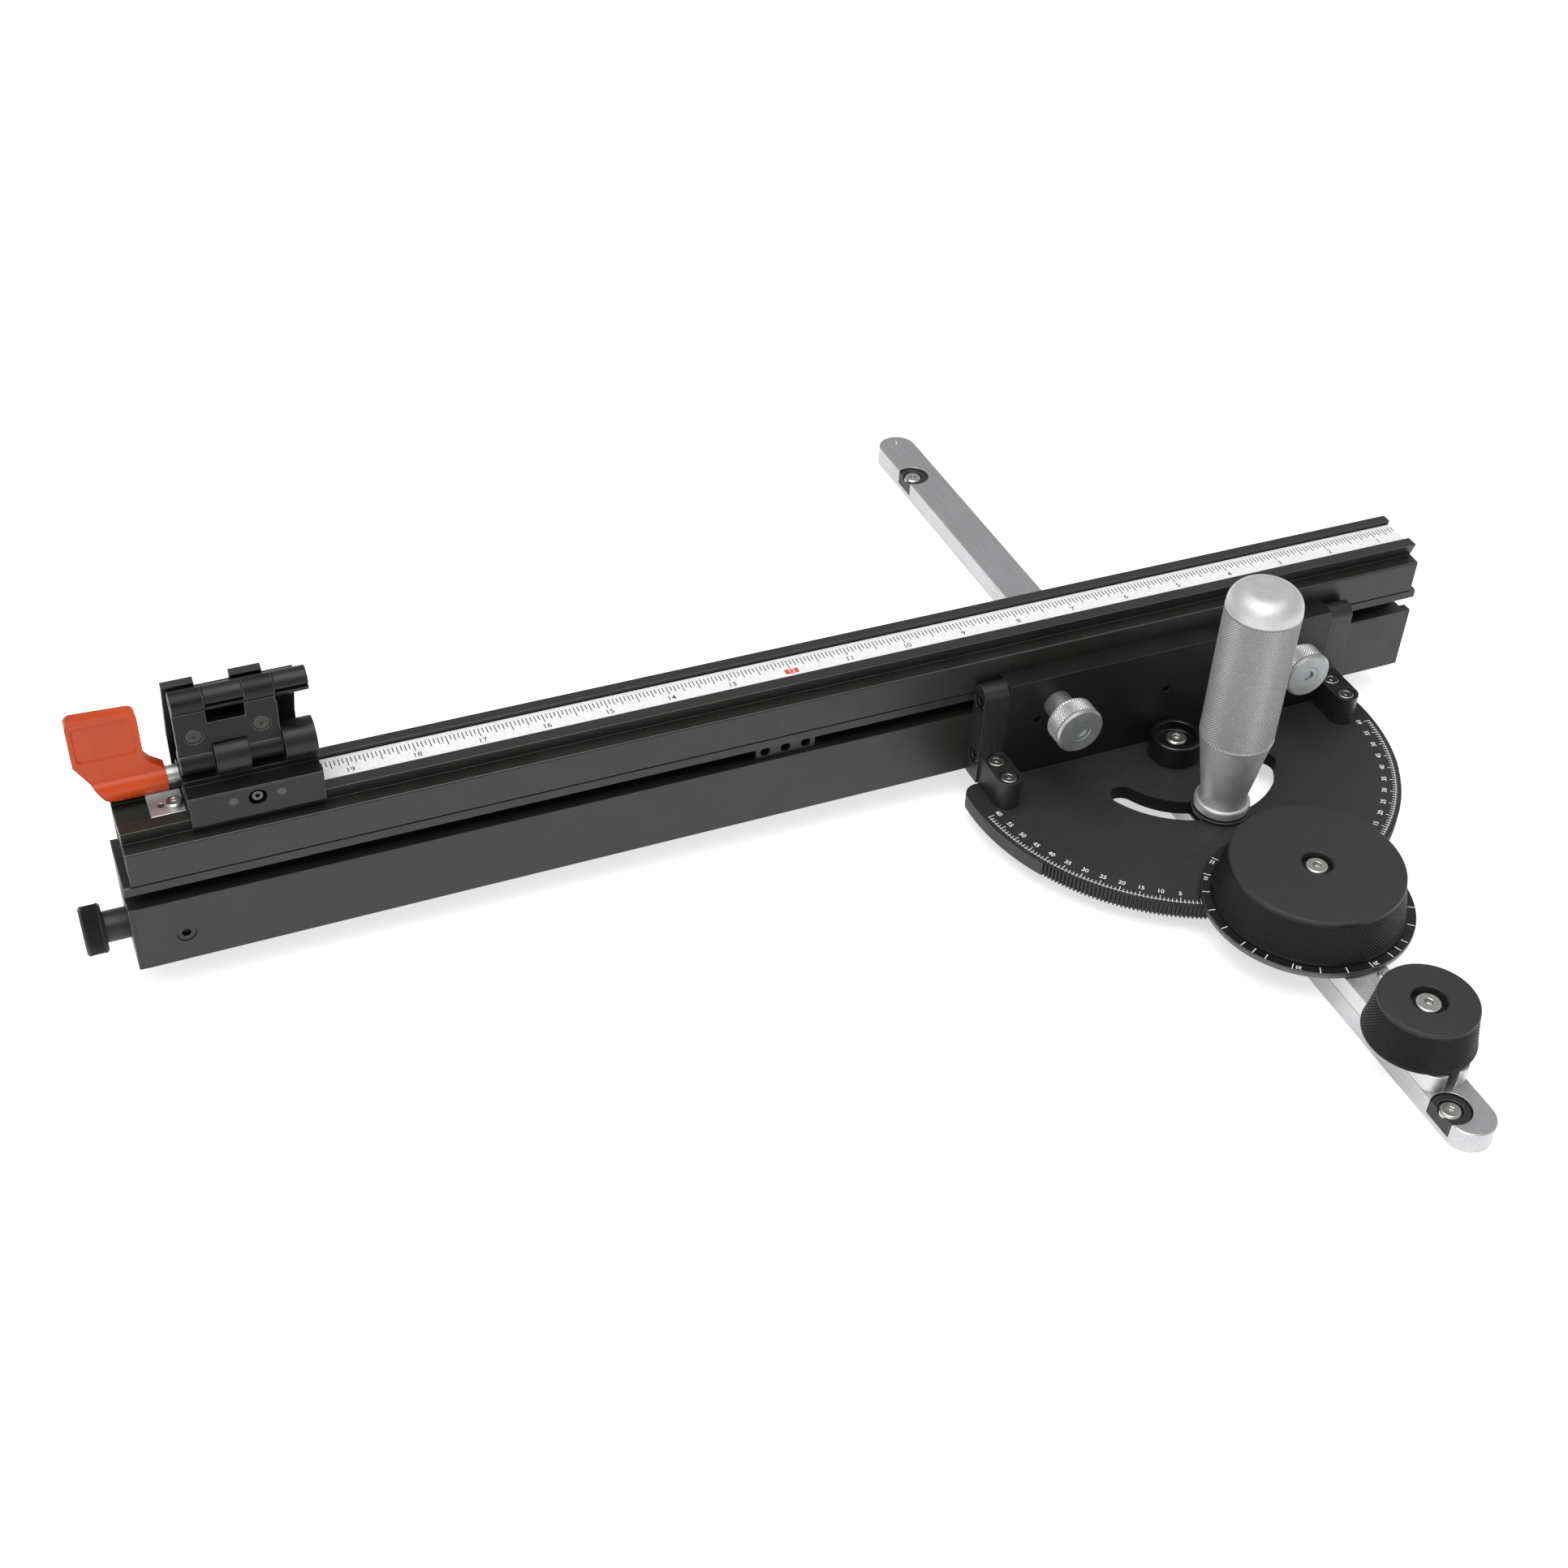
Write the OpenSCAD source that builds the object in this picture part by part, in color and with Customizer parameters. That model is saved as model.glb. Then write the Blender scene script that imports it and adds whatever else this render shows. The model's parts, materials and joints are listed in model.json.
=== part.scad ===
// Table-saw mitre gauge with a micro-adjusting protractor head, a long fence and a flip stop.
// Frame: origin on the pivot axis, at the saw-table surface. +X runs along the fence,
// +Y runs along the bar towards the blade, +Z is up. Millimetres.

/* [Mitre bar] */
// Width of the bar, a running fit in a 3/4 inch table slot
bar_w = 19.05; // [18.6:0.05:19.4]
// Thickness of the bar
bar_t = 9.5; // [9:0.1:10.5]
// Length of the bar on the user's side of the pivot
bar_rear = 222; // [218:1:240]
// Length of the bar on the blade side of the pivot
bar_lead = 286.5; // [262:0.5:340]
// Radius of the pockets that hold the snug-fit discs
snug_pocket_r = 7.9; // [7:0.1:8.2]

/* [Protractor] */
// Thickness of the protractor plate
plate_t = 6.35; // [5:0.05:6.6]
// Outer radius of the plate and of the tips of its teeth
plate_r = 96.4; // [96.3:0.05:96.45]
// Distance from the pivot to the straight edge of the plate
plate_back = 11; // [9:0.5:11]
// Radius of the curved clamping slot, measured to its middle
slot_r = 38.1; // [37:0.1:39]
// Width of the curved slot
slot_w = 11.5; // [10:0.5:12]
// Half the angle that the gear teeth cover, in whole teeth of one degree
tooth_span = 63; // [61:1:66]

/* [Drive] */
// Teeth on the pinion
pinion_teeth = 24; // [24:1:24]
// Radius of the turning dial
dial_r = 42.1; // [39.5:0.1:42.2]
// Radius of the drive knob at its foot
drive_knob_r = 38.3; // [34:0.1:38.5]
// Radius of the drive knob at its top
drive_knob_top_r = 34.4; // [30:0.1:36]
// Height of the top of the drive knob above the table
drive_knob_top = 30.1; // [29:0.1:34]
// Radius of the lock knob at its foot
lock_knob_r = 21.6; // [18:0.1:22]
// Radius of the lock knob at its top
lock_knob_top_r = 18.7; // [16:0.1:19.5]
// Height of the top of the lock knob above the table
lock_knob_top = 26; // [24:0.5:30]

/* [Handle] */
// Largest radius of the clamping handle
handle_r = 15.2; // [13:0.1:15.3]
// Height of the top of the handle above the table
handle_top = 117; // [100:1:130]

/* [Fence] */
// Left end of the fence
fence_left = -428.5; // [-428.5:0.5:-425]
// Right end of the fence
fence_right = 126.5; // [110:0.5:180]
// Front face of the fence
fence_front = 21; // [21:0.1:21]
// Work face of the fence
fence_back = 50; // [50:0.5:50.5]
// Underside of the fence above the table
fence_low = 7; // [6:0.5:9]
// Half the length of the face plate
face_half = 77.8; // [76.5:0.1:77.9]

/* [Extension rod] */
// Radius of the rod that slides out of the fence
rod_r = 6; // [5:0.5:6]
// Length of the rod inside the fence
rod_inside = 280; // [240:5:400]

/* [Flip stop] */
// Left end of the carriage
stop_left = -403.5; // [-403.5:0.5:-380]
// Width of the carriage along the fence
stop_w = 48.5; // [48.5:0.5:48.5]
// Lowest point of the stop finger above the table
finger_low = 14; // [12:1:30]

/* [Hidden] */

fine = 128;
mid = 64;
eps = 0.01;

// Gear: one tooth per degree, so the plate is a slice of a 360 tooth wheel
wheel_teeth = 360;
pitch_r = 96;
module_mm = 2 * pitch_r / wheel_teeth;
pinion_pitch_r = module_mm * pinion_teeth / 2;
drive_y = -(pitch_r + pinion_pitch_r);
pressure = 20;
addendum = 0.45;
dedendum = 0.65;
tooth_thick = 0.76;
tooth_step = 360 / wheel_teeth;
pinion_low = 2.3;
pinion_high = 6.3;

// Bar furniture
snug_y = [-207, 248];
snug_x = -5;
snug_depth = 7;
dimple_y = 280.2;
handle_y = -slot_r;
lock_y = -177;
lock_screw_r = 2.2;
knob_seat = 25.6;
lock_seat = 20.9;
bar_edge = 0.4;
stud_r = 4;
stud_top = 60;

// Pivot
journal_r = 8;
boss_r = 11.1;
boss_top = 17;
boss_seat = 12.6;
fit = 0.05;
gap = 0.25;

// Drive block
block_top = 8;
block_rear = -199;
block_front = -97.5;
fork_half = 2.4;
fork_end = -170;
index_at = [5, -147];
index_t = 0.2;
dial_low = 8.3;
dial_high = 10.8;
spindle_r = 3;

// Head
slot_half_angle = 63;
face_front = 11.5;
face_low = 1;
face_top = 53.8;
thumb_x = 55;
thumb_z = 40;
thumb_shank_r = 3;
foot_x = 82.6;
foot_half = 5.45;
foot_y = [7.7, -3.6];
foot_top = 20;
ear_x0 = 78;
ear_x1 = 89;
ear_z = [18, 46];
ear_y = (face_front + fence_front) / 2;
ear_r = (fence_front - face_front) / 2;

// Fence sections, as Y and Z
joint_z = 47.45;
slot_low = 36.6;
slot_high = 43.5;
slot_lip = 4.4;
cavity_depth = 8.1;
cavity_low = 33.9;
cavity_high = 45.4;
cavity_back = fence_front + slot_lip + cavity_depth;
bore_y = 34.5;
bore_z = 20;
rod_screw = [-412.4, 19.6];
rod_screw_r = 3.6;
rod_left = -440;
hollow_y = 43;
rail_top = 69.4;
rail_floor = 66.9;
rail_back = 49.4;
tape_top = 67.4;
cap_t = 2.8;
end_plate_x = -416.3;
end_plate_t = 2.1;
end_screw = [-407.4, 36];
fence_len = fence_right - fence_left;

// Flip stop
stop_right = stop_left + stop_w;
hinge_y = 34;
low_hinge_z = 88.5;
high_hinge_z = 114.7;
barrel_r = 7.3;
arm_knuckle_r = 4.6;
top_knuckle_r = 4.5;
low_pin_r = 1.5;
high_pin_r = 1.2;
barrel_a = [stop_left + 12.5, stop_left + 24.5];
barrel_b = [stop_left + 37, stop_right + 0.2];
side_gap = 0.3;
lever_y = 42;
lever_z = 78.2;
lever_r = 3.4;
hub_r = 5.2;
shaft_left = -422;
jaw_len = 26;
jaw_w = 5;
stop_mid = stop_left + stop_w / 2;
set_z = 74.9;
dowel_x = 8.7;
leaf_screw_x = [6.5, 30.5];
leaf_screw_z = 100.5;
arm_front = 31.5;

// ---- helpers ----

// Sweeps a Y-Z outline along +X
module along_x(x0, len) {
    translate([x0, 0, 0]) rotate([90, 0, 90]) linear_extrude(len) children();
}

// Round bar along X, through the point (y, z)
module rod_x(x0, x1, y, z, r, facets = mid) {
    translate([x0, y, z]) rotate([0, 90, 0]) cylinder(r = r, h = x1 - x0, $fn = facets);
}

// Round bar along Y, through the point (x, z)
module rod_y(y0, y1, x, z, r, facets = mid) {
    translate([x, y0, z]) rotate([-90, 0, 0]) cylinder(r = r, h = y1 - y0, $fn = facets);
}

// Socket screw standing on z = 0, with its head above and its shank below
module socket_screw(head_r, head_h, shank_r, shank_l, socket_r, edge = 0.3) {
    difference() {
        union() {
            cylinder(r = head_r, h = head_h - edge, $fn = mid);
            translate([0, 0, head_h - edge])
                cylinder(r1 = head_r, r2 = head_r - edge, h = edge, $fn = mid);
            translate([0, 0, -shank_l]) cylinder(r = shank_r, h = shank_l + eps, $fn = mid);
        }
        translate([0, 0, head_h * 0.4]) cylinder(r = socket_r, h = head_h, $fn = 6);
    }
}

// Rectangle with two rounded corners at its low end
module round_end(w, y0, y1, r) {
    translate([-w / 2, y0 + r]) square([w, y1 - y0 - r]);
    translate([-w / 2 + r, y0]) square([w - 2 * r, r + eps]);
    for (s = [-1, 1]) translate([s * (w / 2 - r), y0 + r]) circle(r = r, $fn = mid);
}

// Rectangle with four rounded corners, standing on the axes
module rounded_square(w, h, r) {
    translate([r, 0]) square([w - 2 * r, h]);
    translate([0, r]) square([w, h - 2 * r]);
    for (x = [r, w - r]) for (y = [r, h - r]) translate([x, y]) circle(r = r, $fn = 32);
}

function polar(r, a) = [r * sin(a), -r * cos(a)];

// ---- bar ----

module bar_section() {
    half = bar_w / 2;
    polygon([
        [-half, -bar_t], [half, -bar_t], [half, -bar_edge], [half - bar_edge, 0],
        [-half + bar_edge, 0], [-half, -bar_edge]
    ]);
}

module bar_end(y) {
    half = bar_w / 2;
    translate([0, y, 0]) rotate_extrude($fn = fine)
        polygon([[0, -bar_t], [half, -bar_t], [half, -bar_edge], [half - bar_edge, 0], [0, 0]]);
}

module mitre_bar() {
    low = -bar_rear + bar_w / 2;
    high = bar_lead - bar_w / 2;
    color("silver") difference() {
        union() {
            translate([0, high, 0]) rotate([90, 0, 0]) linear_extrude(high - low) bar_section();
            bar_end(low);
            bar_end(high);
        }
        for (y = snug_y) {
            translate([snug_x, y, -snug_depth])
                cylinder(r = snug_pocket_r, h = snug_depth + 1, $fn = mid);
            translate([snug_x, y, -bar_t - 1]) cylinder(r = 2.02, h = bar_t, $fn = 32);
        }
        translate([0.7, dimple_y, 0]) sphere(r = 1.2, $fn = 32);
        translate([0, 0, -bar_t + 1]) cylinder(r = 3, h = bar_t, $fn = mid);
        translate([0, handle_y, -bar_t + 1]) cylinder(r = stud_r + 0.02, h = bar_t, $fn = mid);
        translate([0, lock_y, -bar_t + 1]) cylinder(r = lock_screw_r + fit, h = bar_t, $fn = mid);
    }
}

// Split ring discs that grip the side of the table slot
module snug_discs() {
    color([0.07, 0.07, 0.07]) for (y = snug_y) difference() {
        intersection() {
            translate([snug_x, y, -snug_depth + 0.1]) cylinder(r = 7.4, h = 6.2, $fn = mid);
            translate([-bar_w / 2, y - 10, -bar_t]) cube([bar_w, 20, bar_t]);
        }
        translate([snug_x, y, -2.6]) cylinder(r = 4.9, h = 5, $fn = mid);
        translate([snug_x, y, -bar_t]) cylinder(r = 2.2, h = bar_t, $fn = 32);
    }
}

module snug_screws() {
    color("silver") for (y = snug_y) translate([snug_x, y, -2.6])
        socket_screw(4.3, 2.1, 2, 6.4, 1.5, 0.8);
}

module pivot_boss() {
    color([0.07, 0.07, 0.07]) rotate_extrude($fn = fine) polygon([
        [3.1, 0.1], [journal_r, 0.1], [journal_r, plate_t + gap], [boss_r - 0.5, plate_t + gap],
        [boss_r, plate_t + gap + 0.5], [boss_r, boss_top - 0.5], [boss_r - 0.5, boss_top],
        [8.6, boss_top], [8.6, boss_seat], [3.1, boss_seat]
    ]);
}

module pivot_screw() {
    color("silver") translate([0, 0, boss_seat]) socket_screw(4.6, 2.8, 3, 21, 2, 0.7);
}

module handle_stud() {
    color("silver") translate([0, handle_y, -bar_t + 1])
        cylinder(r = stud_r, h = stud_top + bar_t - 1, $fn = mid);
}

module handle_washer() {
    color([0.07, 0.07, 0.07]) translate([0, handle_y, plate_t + 0.1]) difference() {
        cylinder(r = 12.3, h = 1.5, $fn = fine);
        translate([0, 0, -1]) cylinder(r = stud_r + 0.2, h = 4, $fn = mid);
    }
}

// ---- protractor ----

// Everything outside the toothed edge, as one outline
module tooth_gaps() {
    out_r = plate_r + 2;
    rim_r = plate_r + 0.03;
    root_r = pitch_r - dedendum;
    slope = tan(pressure);
    root_half = (tooth_thick / 2 + dedendum * slope) / root_r * 180 / PI;
    tip_half = (tooth_thick / 2 - addendum * slope) / rim_r * 180 / PI;
    half_step = tooth_step / 2;
    inner = [
        for (i = [-tooth_span : tooth_span])
            each [
                polar(rim_r, i - half_step + tip_half),
                polar(root_r, i - half_step + root_half),
                polar(root_r, i + half_step - root_half),
                polar(rim_r, i + half_step - tip_half)
            ]
    ];
    outer = [for (i = [tooth_span : -3 : -tooth_span]) polar(out_r, i)];
    polygon(concat(inner, outer));
}

// Curved slot: an arc of a ring with round ends
module curved_slot() {
    far = 3 * slot_r;
    difference() {
        circle(r = slot_r + slot_w / 2, $fn = fine);
        circle(r = slot_r - slot_w / 2, $fn = fine);
        polygon([
            [0, 0], polar(far, slot_half_angle), polar(far, 90), polar(far, 135), polar(far, 180),
            polar(far, -135), polar(far, -90), polar(far, -slot_half_angle)
        ]);
    }
    for (a = [-slot_half_angle, slot_half_angle])
        translate(polar(slot_r, a)) circle(r = slot_w / 2, $fn = mid);
}

module plate_outline() {
    corner = 7;
    side = sqrt(pow(plate_r - corner, 2) - pow(plate_back - corner, 2));
    difference() {
        union() {
            intersection() {
                circle(r = plate_r, $fn = 360);
                translate([-plate_r, -2 * plate_r + plate_back - corner])
                    square([2 * plate_r, 2 * plate_r]);
            }
            translate([-side, plate_back - 2 * corner]) square([2 * side, 2 * corner]);
            for (s = [-1, 1])
                translate([s * side, plate_back - corner]) circle(r = corner, $fn = mid);
        }
        tooth_gaps();
        curved_slot();
        circle(r = journal_r + fit, $fn = fine);
        for (s = [-1, 1]) for (y = foot_y) translate([s * foot_x, y]) circle(r = 2, $fn = 32);
    }
}

module protractor_plate() {
    color([0.07, 0.07, 0.07]) linear_extrude(plate_t) plate_outline();
}

module face_plate() {
    color([0.07, 0.07, 0.07]) difference() {
        translate([-face_half, face_front, face_low])
            cube([2 * face_half, fence_front - face_front, face_top - face_low]);
        for (x = [-thumb_x, thumb_x])
            rod_y(face_front - 1, fence_front + 1, x, thumb_z, thumb_shank_r + 0.3);
        for (x = [-62.8, -1.3, 62.8]) rod_y(face_front - 1, face_front + 3, x, 33, 1.6, 32);
        for (s = [-1, 1]) for (z = ear_z)
            rod_x(s * face_half - 12, s * face_half + 12, ear_y, z, 2, 32);
    }
}

// Angle bracket on the left; the right one is its mirror image
module bracket() {
    color([0.07, 0.07, 0.07]) difference() {
        union() {
            translate([-ear_x1, face_front, plate_t])
                cube([ear_x1 - ear_x0, fence_front - face_front, face_top - ear_r - plate_t]);
            rod_x(-ear_x1, -ear_x0, ear_y, face_top - ear_r, ear_r);
            translate([-foot_x - foot_half, foot_y[1], plate_t])
                cube([2 * foot_half, face_front - foot_y[1], foot_top - plate_t]);
            translate([-foot_x - foot_half, face_front - 1, plate_t])
                cube([foot_x + foot_half - ear_x0, 2, foot_top - plate_t]);
            translate([-foot_x, foot_y[1], plate_t])
                cylinder(r = foot_half, h = foot_top - plate_t, $fn = mid);
        }
        for (y = foot_y) {
            translate([-foot_x, y, plate_t - 1]) cylinder(r = 2.1, h = foot_top, $fn = 32);
            translate([-foot_x, y, foot_top - 3.6]) cylinder(r = 4, h = 10, $fn = mid);
        }
        for (z = ear_z) {
            rod_x(-ear_x1 - 1, -ear_x0 + 1, ear_y, z, 2.1, 32);
            rod_x(-ear_x1 - 1, -ear_x1 + 3.4, ear_y, z, 3.9);
        }
    }
}

module bracket_left() { bracket(); }

module bracket_right() { mirror([1, 0, 0]) bracket(); }

module bracket_foot_screws() {
    color([0.12, 0.12, 0.12]) for (s = [-1, 1]) for (y = foot_y)
        translate([s * foot_x, y, foot_top - 3.6]) socket_screw(3.6, 3.3, 1.95, 15, 1.7);
}

module bracket_side_screws() {
    color([0.12, 0.12, 0.12]) for (s = [-1, 1]) for (z = ear_z)
        translate([s * (ear_x1 - 3.4), ear_y, z]) rotate([0, s * 90, 0])
            socket_screw(3.5, 3.1, 1.95, 18, 1.5);
}

// ---- fence ----

module fence_outline() {
    difference() {
        translate([fence_front, fence_low])
            square([fence_back - fence_front, joint_z - fence_low]);
        translate([fence_front - 1, slot_low])
            square([slot_lip + 2, slot_high - slot_low]);
        translate([fence_front + slot_lip, cavity_low])
            square([cavity_depth, cavity_high - cavity_low]);
        translate([fence_front - 1, joint_z - 0.35]) square([1.5, 1]);
    }
}

module fence_hollow() {
    translate([hollow_y, 9.6]) square([4.4, 34.8]);
}

// The extrusion is drawn as three nodes, so that each is a simple shape round the open slot
module fence_extrusion() {
    color([0.08, 0.08, 0.08]) difference() {
        along_x(fence_left, fence_len) difference() {
            intersection() {
                fence_outline();
                translate([fence_front, fence_low])
                    square([fence_back - fence_front, slot_low - fence_low]);
            }
            translate([bore_y, bore_z]) circle(r = rod_r + 0.08, $fn = fine);
            fence_hollow();
        }
        rod_y(fence_front - 1, bore_y, rod_screw[0], rod_screw[1], rod_screw_r + 0.05);
    }
}

// Back wall of the slot
module fence_extrusion_web() {
    color([0.08, 0.08, 0.08]) along_x(fence_left, fence_len) difference() {
        translate([cavity_back, slot_low])
            square([fence_back - cavity_back, cavity_high - slot_low]);
        fence_hollow();
    }
}

// Roof and upper lip of the slot
module fence_extrusion_lip() {
    color([0.08, 0.08, 0.08]) along_x(fence_left, fence_len) intersection() {
        fence_outline();
        union() {
            translate([fence_front, slot_high]) square([slot_lip, joint_z - slot_high]);
            translate([fence_front, cavity_high])
                square([fence_back - fence_front, joint_z - cavity_high]);
        }
    }
}

module fence_rail() {
    wall = 3;
    color([0.08, 0.08, 0.08]) along_x(fence_left, fence_len) difference() {
        polygon([
            [21.5, joint_z], [rail_back, joint_z], [rail_back, rail_top], [44.8, rail_top],
            [45.3, rail_floor], [31.1, rail_floor], [30.5, rail_top], [24.9, rail_top],
            [27.1, 62.9], [21.3, 62.5], [fence_front, 61.9], [fence_front, joint_z + 0.35],
            [21.5, joint_z + 0.35]
        ]);
        translate([fence_front + wall, joint_z + wall])
            square([rail_back - fence_front - 2 * wall, 60 - joint_z - wall]);
    }
}

module fence_cap_left() {
    color([0.05, 0.05, 0.05]) along_x(fence_left - cap_t, cap_t) difference() {
        fence_outline();
        translate([bore_y, bore_z]) circle(r = rod_r + 0.25, $fn = fine);
    }
}

module fence_cap_right() {
    color([0.05, 0.05, 0.05]) along_x(fence_right, cap_t) fence_outline();
}

module scale_tape() {
    left = stop_left + 1;
    color("white") translate([left, 31.4, rail_floor])
        cube([fence_right - 0.1 - left, 13.4, tape_top - rail_floor]);
}

module rail_end_plate() {
    color("silver") difference() {
        translate([end_plate_x, 31.3, rail_floor]) cube([12.4, 13.1, end_plate_t]);
        translate([end_plate_x + 4.4, 36.8, rail_floor - 1]) cylinder(r = 1.2, h = 5, $fn = 32);
        translate([end_screw[0], end_screw[1], rail_floor - 1]) cylinder(r = 1.6, h = 5, $fn = 32);
    }
}

module rail_end_screw() {
    color("silver") translate([end_screw[0], end_screw[1], rail_floor + end_plate_t])
        socket_screw(3.3, 2, 1.55, 2, 1.4, 0.6);
}

module tee_profile(neck_front, back) {
    translate([neck_front, slot_low + 0.3])
        square([fence_front + slot_lip + gap - neck_front + eps, slot_high - slot_low - 0.6]);
    translate([fence_front + slot_lip + gap, cavity_low + 0.4])
        square([back - fence_front - slot_lip - gap, cavity_high - cavity_low - 0.8]);
}

module fence_tee_nuts() {
    color("silver") for (x = [-thumb_x, thumb_x]) difference() {
        along_x(x - 10, 20) tee_profile(fence_front + gap, 31);
        rod_y(fence_front - 1, 40, x, thumb_z, thumb_shank_r + fit);
    }
}

module rod_lock_screw() {
    color([0.12, 0.12, 0.12]) difference() {
        rod_y(fence_front + 0.3, 28.2, rod_screw[0], rod_screw[1], rod_screw_r);
        rod_y(fence_front - 1, 24, rod_screw[0], rod_screw[1], 1.9, 6);
    }
}

module thumb_screw(x) {
    color("silver") difference() {
        translate([x, 0, thumb_z]) rotate([-90, 0, 0]) rotate_extrude($fn = fine) polygon([
            [0, -9.3], [9.8, -9.3], [10.5, -8.6], [10.5, -0.2], [9.9, 0.4], [6, 0.4],
            [6, face_front - gap], [thumb_shank_r, face_front - gap], [thumb_shank_r, 32], [0, 32]
        ]);
        rod_y(-10, -8.3, x, thumb_z, 2.1, 32);
    }
}

module thumb_screw_left() { thumb_screw(-thumb_x); }

module thumb_screw_right() { thumb_screw(thumb_x); }

// ---- drive ----

// The two prongs that straddle the lock screw are drawn as their own node
module pinion_block() {
    color("silver") difference() {
        linear_extrude(block_top) difference() {
            translate([-bar_w / 2, fork_end]) square([bar_w, block_front - fork_end]);
            translate([0, fork_end]) circle(r = fork_half, $fn = mid);
        }
        translate([0, drive_y, pinion_low - 0.3]) cylinder(r = 7.4, h = block_top, $fn = fine);
        translate([0, drive_y, -1]) cylinder(r = spindle_r + fit, h = block_top, $fn = mid);
        translate([index_at[0], index_at[1], block_top - 3]) cylinder(r = 1.25, h = 5, $fn = 32);
    }
}

module block_prongs() {
    color("silver") linear_extrude(block_top) difference() {
        round_end(bar_w, block_rear, fork_end, 5);
        translate([-fork_half, block_rear - 1]) square([2 * fork_half, fork_end - block_rear + 2]);
    }
}

module index_plate() {
    color([0.1, 0.1, 0.1]) difference() {
        translate([index_at[0] - 6.5, index_at[1] - 3.5, block_top]) cube([10.8, 7.2, index_t]);
        translate([index_at[0], index_at[1], block_top - 1]) cylinder(r = 1.3, h = 3, $fn = 32);
    }
}

module index_screw() {
    color("silver") translate([index_at[0], index_at[1], block_top + index_t])
        socket_screw(2.3, 1.1, 1.2, 3, 0.9, 0.5);
}

module dial_ring() {
    color([0.09, 0.09, 0.09]) translate([0, drive_y, 0]) rotate_extrude($fn = fine) polygon([
        [spindle_r + 0.02, dial_low], [dial_r - 0.4, dial_low], [dial_r, dial_low + 0.4],
        [dial_r, dial_high - 0.3], [dial_r - 0.3, dial_high], [spindle_r + 0.02, dial_high]
    ]);
}

module drive_knob() {
    top = drive_knob_top;
    color([0.08, 0.08, 0.08]) translate([0, drive_y, 0]) rotate_extrude($fn = fine) polygon([
        [4.2, dial_high], [8, dial_high], [8, 24], [drive_knob_top_r - 4, 24],
        [drive_knob_r - 4, dial_high], [drive_knob_r - 0.4, dial_high],
        [drive_knob_r, dial_high + 0.5], [drive_knob_top_r + 0.2, top - 0.9],
        [drive_knob_top_r - 0.8, top], [6.25, top], [6.25, knob_seat], [2.6, knob_seat], [2.6, 22],
        [4.2, 22]
    ]);
}

module drive_knob_screw() {
    color("silver") translate([0, drive_y, knob_seat])
        socket_screw(4.55, 3.2, 2.5, 14, 2, 0.5);
}

module drive_spindle() {
    color("silver") translate([0, drive_y, 0]) difference() {
        union() {
            translate([0, 0, 0.3]) cylinder(r = spindle_r, h = 21.5, $fn = mid);
            translate([0, 0, dial_high]) cylinder(r = 4.1, h = 11, $fn = mid);
        }
        translate([0, 0, 9]) cylinder(r = 2.52, h = 14, $fn = mid);
    }
}

function involute(a) = tan(a) * 180 / PI - a;

module pinion() {
    tip_r = pinion_pitch_r + addendum;
    root_r = pinion_pitch_r - dedendum;
    base_r = pinion_pitch_r * cos(pressure);
    steps = 4;
    pitch_half = tooth_thick / 2 / pinion_pitch_r * 180 / PI;
    flank = [
        for (k = [0 : steps])
            let (r = base_r + (tip_r - base_r) * k / steps)
                [r, pitch_half + involute(pressure) - involute(acos(base_r / r))]
    ];
    root_half = flank[0][1];
    color("silver") translate([0, drive_y, pinion_low]) linear_extrude(pinion_high - pinion_low)
        difference() {
            polygon([
                for (i = [0 : pinion_teeth - 1])
                    let (c = 180 - i * 360 / pinion_teeth)
                        each concat(
                            [polar(root_r, c + root_half)],
                            [for (k = [0 : steps]) polar(flank[k][0], c + flank[k][1])],
                            [for (k = [steps : -1 : 0]) polar(flank[k][0], c - flank[k][1])],
                            [polar(root_r, c - root_half)]
                        )
            ]);
            circle(r = spindle_r + 0.02, $fn = mid);
        }
}

module lock_knob() {
    top = lock_knob_top;
    low = block_top + gap;
    color([0.08, 0.08, 0.08]) translate([0, lock_y, 0]) rotate_extrude($fn = fine) polygon([
        [lock_screw_r + fit, low], [lock_knob_r - 0.8, low], [lock_knob_r, low + 0.8],
        [lock_knob_top_r + 0.2, top - 0.9], [lock_knob_top_r - 0.8, top], [6.85, top],
        [6.85, lock_seat], [lock_screw_r + fit, lock_seat]
    ]);
}

module lock_knob_screw() {
    color("silver") translate([0, lock_y, lock_seat])
        socket_screw(5, 3.6, lock_screw_r, 28, 2, 0.5);
}

// Turned handle: foot, waist, straight grip and a rounded crown
module clamp_handle() {
    foot_low = plate_t + 1.7;
    foot_r = 11.6;
    waist_r = 9.8;
    waist_z = 17;
    grip_z = 46;
    crown = 8;
    waist = [
        for (k = [0 : 6])
            let (t = k / 6, s = t - 0.06 * sin(360 * t))
                [waist_r + (handle_r - waist_r) * s, waist_z + (grip_z - waist_z) * t]
    ];
    top_arc = [
        for (a = [0 : 15 : 90])
            [handle_r - crown + crown * cos(a), handle_top - crown + crown * sin(a)]
    ];
    color("silver") translate([0, handle_y, 0]) rotate_extrude($fn = fine) polygon(concat(
        [[stud_r + fit, foot_low], [foot_r - 0.8, foot_low], [foot_r, foot_low + 0.8],
            [foot_r, foot_low + 2.3], [foot_r - 0.8, foot_low + 3.2], [foot_r - 1.6, foot_low + 3.5]],
        waist, top_arc, [[0, handle_top], [0, stud_top + 0.2], [stud_r + fit, stud_top + 0.2]]
    ));
}

// ---- flip stop ----

module carriage_outline() {
    polygon([
        [22.5, 67.4], [25.2, 63.25], [26.65, 63.3], [24.55, 69.7], [47.5, 69.7], [47.5, 79.5],
        [44.7, 82.3], [30, 82.3], [30, 80], [22.9, 80], [22.5, 79.6]
    ]);
}

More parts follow.
